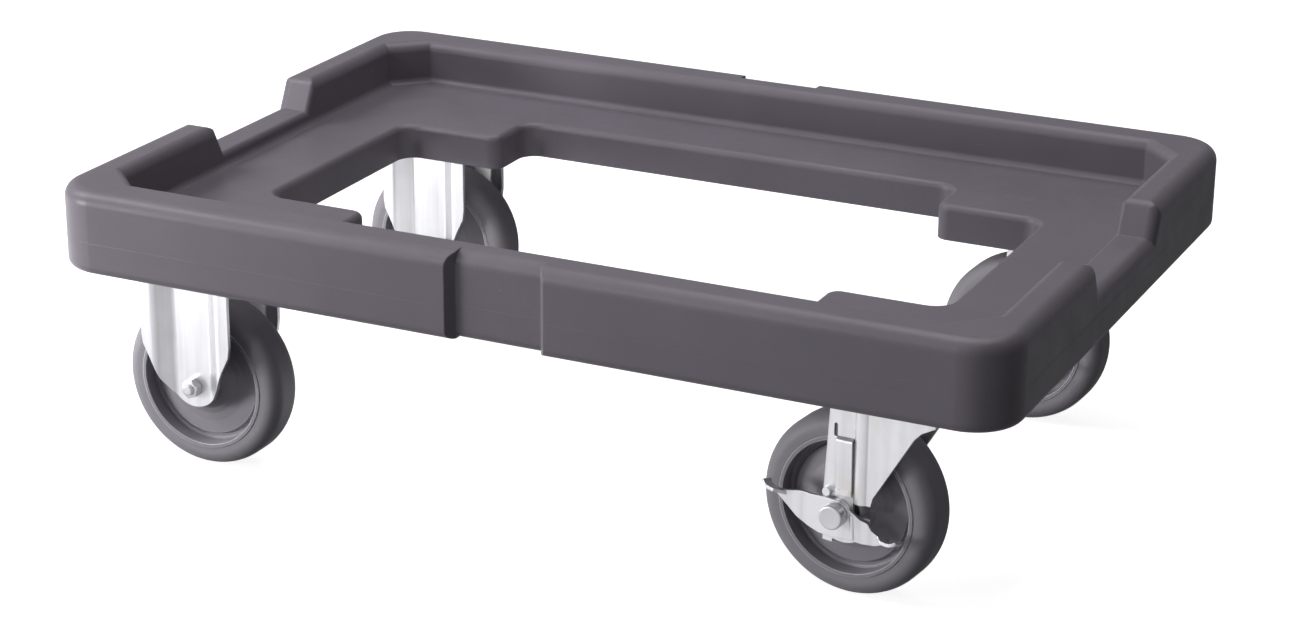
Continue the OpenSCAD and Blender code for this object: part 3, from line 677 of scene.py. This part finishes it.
# light that a white floor throws back: middle, sides and power of each panel
floorPanels = {
    "floorFront": {"place": (0.0, -1.1, 0.004), "size": (3.0, 1.2), "power": 2.5},
    "floorLeft": {"place": (-1.2, 0.0, 0.004), "size": (1.5, 1.4), "power": 7},
    "floorRight": {"place": (1.2, 0.0, 0.004), "size": (1.5, 1.4), "power": 0.2},
    "floorUnder": {"place": (0.0, 0.0, 0.004), "size": (0.5, 0.24), "power": 0.3},
}

# surroundings that show in the zinc: bright towards the front, dark towards the back
skyLook = {
    "bright": 1.12,
    "dark": 0.22,
    "towards": (-0.5, -0.85, 0.0),
    "spread": 0.7,
    "tint": (0.97, 0.97, 1.0),
}


def makeFloor():
    look = floorLook
    size = look["size"]
    mesh = bpy.data.meshes.new("floorMesh")
    mesh.from_pydata([(-size, -size, 0), (size, -size, 0), (size, size, 0), (-size, size, 0)],
                     [], [(0, 1, 2, 3)])
    floor = bpy.data.objects.new("floor", mesh)
    material, tree, shader = newShader("floorPaint", look["color"], look["roughness"])
    shader.inputs["Emission Color"].default_value = (1, 1, 1, 1)
    shader.inputs["Emission Strength"].default_value = look["glow"]
    mesh.materials.append(material)
    bpy.context.scene.collection.objects.link(floor)
    # the panels give the light that a floor throws back, so the floor itself gives none
    floor.visible_diffuse = False
    floor.visible_glossy = False


def addSoftbox(name, place, size, power, target=(0.0, 0.0, 0.12)):
    light = bpy.data.lights.new(name, "AREA")
    light.shape = "SQUARE"
    light.size = size
    light.energy = power
    lamp = bpy.data.objects.new(name, light)
    lamp.location = place
    lamp.rotation_euler = (Vector(target) - Vector(place)).to_track_quat("-Z", "Y").to_euler()
    bpy.context.scene.collection.objects.link(lamp)


def addPanel(name, place, size, power):
    light = bpy.data.lights.new(name, "AREA")
    light.shape = "RECTANGLE"
    light.size, light.size_y = size
    light.energy = power
    lamp = bpy.data.objects.new(name, light)
    lamp.location = place
    lamp.rotation_euler = (math.pi, 0, 0)
    lamp.visible_camera = False
    bpy.context.scene.collection.objects.link(lamp)


def makeSky():
    look = skyLook
    world = bpy.data.worlds.new("studio")
    world.use_nodes = True
    tree = world.node_tree
    background = tree.nodes["Background"]
    facing = addNode(tree, "VectorMath", operation="DOT_PRODUCT")
    tree.links.new(addNode(tree, "TexCoord").outputs["Generated"], facing.inputs[0])
    facing.inputs[1].default_value = look["towards"]
    shade = span(tree, facing.outputs["Value"], -look["spread"], look["spread"], look["dark"], look["bright"])
    tree.links.new(shade, background.inputs["Strength"])
    background.inputs["Color"].default_value = (*look["tint"], 1)
    # the surroundings show in the zinc and give no other light
    world.cycles_visibility.diffuse = False
    bpy.context.scene.world = world


cameraView = {
    "place": (0.8785, -1.8516, 0.8605),
    "azimuth": 25.51,
    "pitch": 20.38,
    "roll": 0.417,
    "focalPixels": 3051.18,
    "frameWidth": 1291,
    "sensorWidth": 36.0,
    "clipNear": 0.05,
    "clipFar": 60,
}


def makeCamera():
    view = cameraView
    azimuth, pitch, roll = (math.radians(view[name]) for name in ("azimuth", "pitch", "roll"))
    forward = Vector((-math.sin(azimuth) * math.cos(pitch), math.cos(azimuth) * math.cos(pitch),
                      -math.sin(pitch)))
    right = Vector((math.cos(azimuth), math.sin(azimuth), 0))
    up = right.cross(forward)
    tiltedRight = right * math.cos(roll) + up * math.sin(roll)
    tiltedUp = up * math.cos(roll) - right * math.sin(roll)
    data = bpy.data.cameras.new("camera")
    data.sensor_width = view["sensorWidth"]
    data.lens = view["focalPixels"] * view["sensorWidth"] / view["frameWidth"]
    data.clip_start = view["clipNear"]
    data.clip_end = view["clipFar"]
    camera = bpy.data.objects.new("camera", data)
    camera.matrix_world = (Matrix.Translation(view["place"])
                           @ Matrix((tiltedRight, tiltedUp, -forward)).transposed().to_4x4())
    bpy.context.scene.collection.objects.link(camera)
    bpy.context.scene.camera = camera


makeFloor()
for boxName, box in softBoxes.items():
    addSoftbox(boxName, box["place"], box["size"], box["power"])
for panelName, panel in floorPanels.items():
    addPanel(panelName, panel["place"], panel["size"], panel["power"])
makeSky()
makeCamera()
bpy.context.scene.view_settings.view_transform = "Standard"
print("stage 5: floor, lights and camera set")
